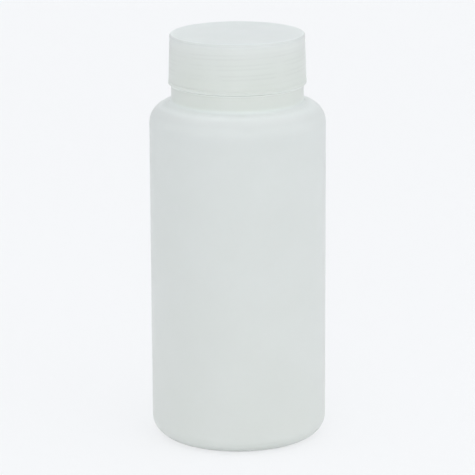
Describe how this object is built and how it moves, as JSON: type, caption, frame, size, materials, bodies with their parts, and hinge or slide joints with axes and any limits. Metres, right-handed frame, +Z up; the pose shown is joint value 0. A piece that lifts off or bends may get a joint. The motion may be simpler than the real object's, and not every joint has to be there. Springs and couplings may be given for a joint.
{
  "type": "wide-mouth bottle",
  "caption": "Round translucent plastic laboratory bottle with a wide threaded mouth, closed by a smooth screw cap with a soft sealing disc.",
  "frame": {"origin": "centre of the ring that the bottle stands on, at the height of the table", "axes": "+Z up along the axis of the bottle and of the screw thread, -Y towards the viewer of the picture, +X to the viewer's right"},
  "size_m": [0.073, 0.073, 0.1708],
  "materials": {
    "bottle_plastic": "satin, milky translucent",
    "liner_foam": "soft matt white foam",
    "cap_plastic": "satin, milky translucent"
  },
  "bodies": {
    "bottle": {"bottle": "bottle_plastic"},
    "liner": {"liner": "liner_foam"},
    "cap": {"cap": "cap_plastic"}
  },
  "joints": [
    {"name": "liner_rise", "type": "slide", "parent": "bottle", "child": "liner", "axis": [0, 0, 1], "range_m": [0, 0.02117]},
    {"name": "cap_turn", "type": "hinge", "parent": "liner", "child": "cap", "pos_m": [0, 0, 0.169], "axis": [0, 0, 1], "range_deg": [0, 1800]}
  ],
  "couplings": [
    {"joint": "liner_rise", "follows": "cap_turn", "m_per_rad": 0.00067376}
  ]
}
